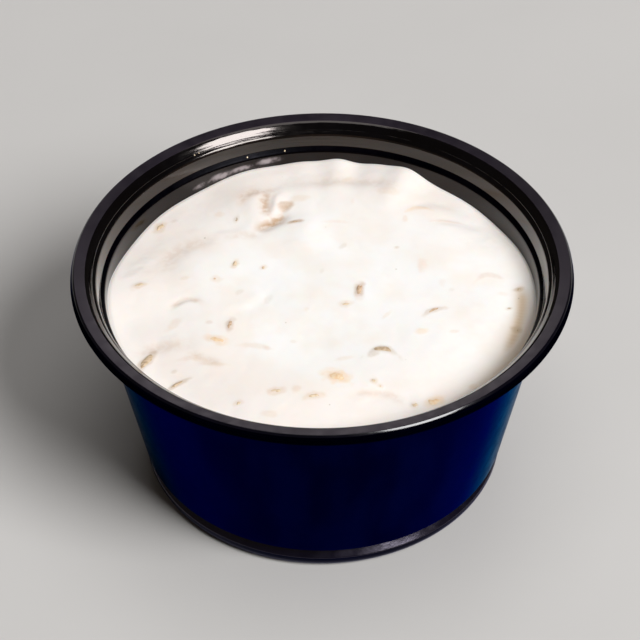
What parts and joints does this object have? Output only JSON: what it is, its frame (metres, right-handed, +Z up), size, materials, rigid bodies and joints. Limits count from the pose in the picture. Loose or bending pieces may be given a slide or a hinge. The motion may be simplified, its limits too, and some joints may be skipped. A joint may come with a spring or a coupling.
{
  "type": "tartar sauce",
  "caption": "Round tapered glossy portion cup with a flanged rim, filled almost to its inner ledge with thick, folded, off-white sauce with chopped bits in it.",
  "frame": {"origin": "centre of the cup's foot, on the surface it stands on", "axes": "+Z up along the cup's axis; the side that faces the camera in the picture is -Y, and +X is to its right"},
  "size_m": [0.0624, 0.0624, 0.0305],
  "materials": {
    "cup": "glossy deep navy outside, satin charcoal on the flat rim and inside",
    "sauce": "thick creamy sauce, soft satin with tan, orange and olive chopped bits"
  },
  "bodies": {
    "root": {"cup": "cup", "sauce": "sauce"}
  },
  "joints": []
}
